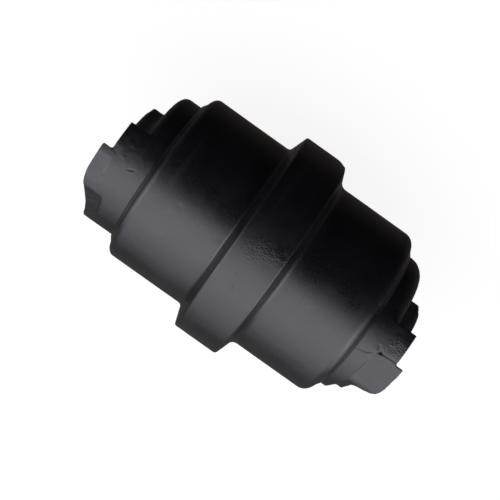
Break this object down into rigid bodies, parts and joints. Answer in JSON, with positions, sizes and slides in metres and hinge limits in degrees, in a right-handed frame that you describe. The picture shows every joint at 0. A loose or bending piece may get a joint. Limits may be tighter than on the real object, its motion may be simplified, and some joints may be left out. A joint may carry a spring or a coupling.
{
  "type": "track roller",
  "caption": "Bottom track roller with a raised centre flange, turning on a fixed shaft between two end collars with locating lugs.",
  "frame": {"origin": "middle of the roller's length, on its axis of rotation", "axes": "+X along the axis of rotation towards the end without a toe on its collar, +Z out through the middle of the two locating lugs, +Y completes a right-handed frame"},
  "size_m": [0.2251, 0.146, 0.146],
  "materials": {
    "shell_paint": "satin black paint over turned forging, light rubs and small pits",
    "collar_paint": "satin black paint over rough casting",
    "shaft_steel": "ground steel, ends painted black with the rest",
    "small_steel": "plain turned steel",
    "bush_bronze": "machined bronze",
    "seal_iron": "lapped hard iron",
    "seal_rubber": "matte black nitrile rubber"
  },
  "bodies": {
    "fixed": {"shaft": "shaft_steel", "collar_left": "collar_paint", "collar_right": "collar_paint", "seal_ring_fixed_left": "seal_iron", "seal_ring_fixed_right": "seal_iron", "toric_fixed_left": "seal_rubber", "toric_fixed_right": "seal_rubber", "shaft_o_ring_left": "seal_rubber", "shaft_o_ring_right": "seal_rubber", "collar_pin_left": "small_steel", "collar_pin_right": "small_steel", "oil_plug": "small_steel", "oil_plug_washer": "small_steel"},
    "roller": {"roller_shell": "shell_paint", "bush_left": "bush_bronze", "bush_right": "bush_bronze", "seal_ring_turning_left": "seal_iron", "seal_ring_turning_right": "seal_iron", "toric_turning_left": "seal_rubber", "toric_turning_right": "seal_rubber"}
  },
  "joints": [
    {"name": "shell_spin", "type": "hinge", "parent": "fixed", "child": "roller", "pos_m": [0, 0, 0], "axis": [1, 0, 0], "continuous": true}
  ]
}
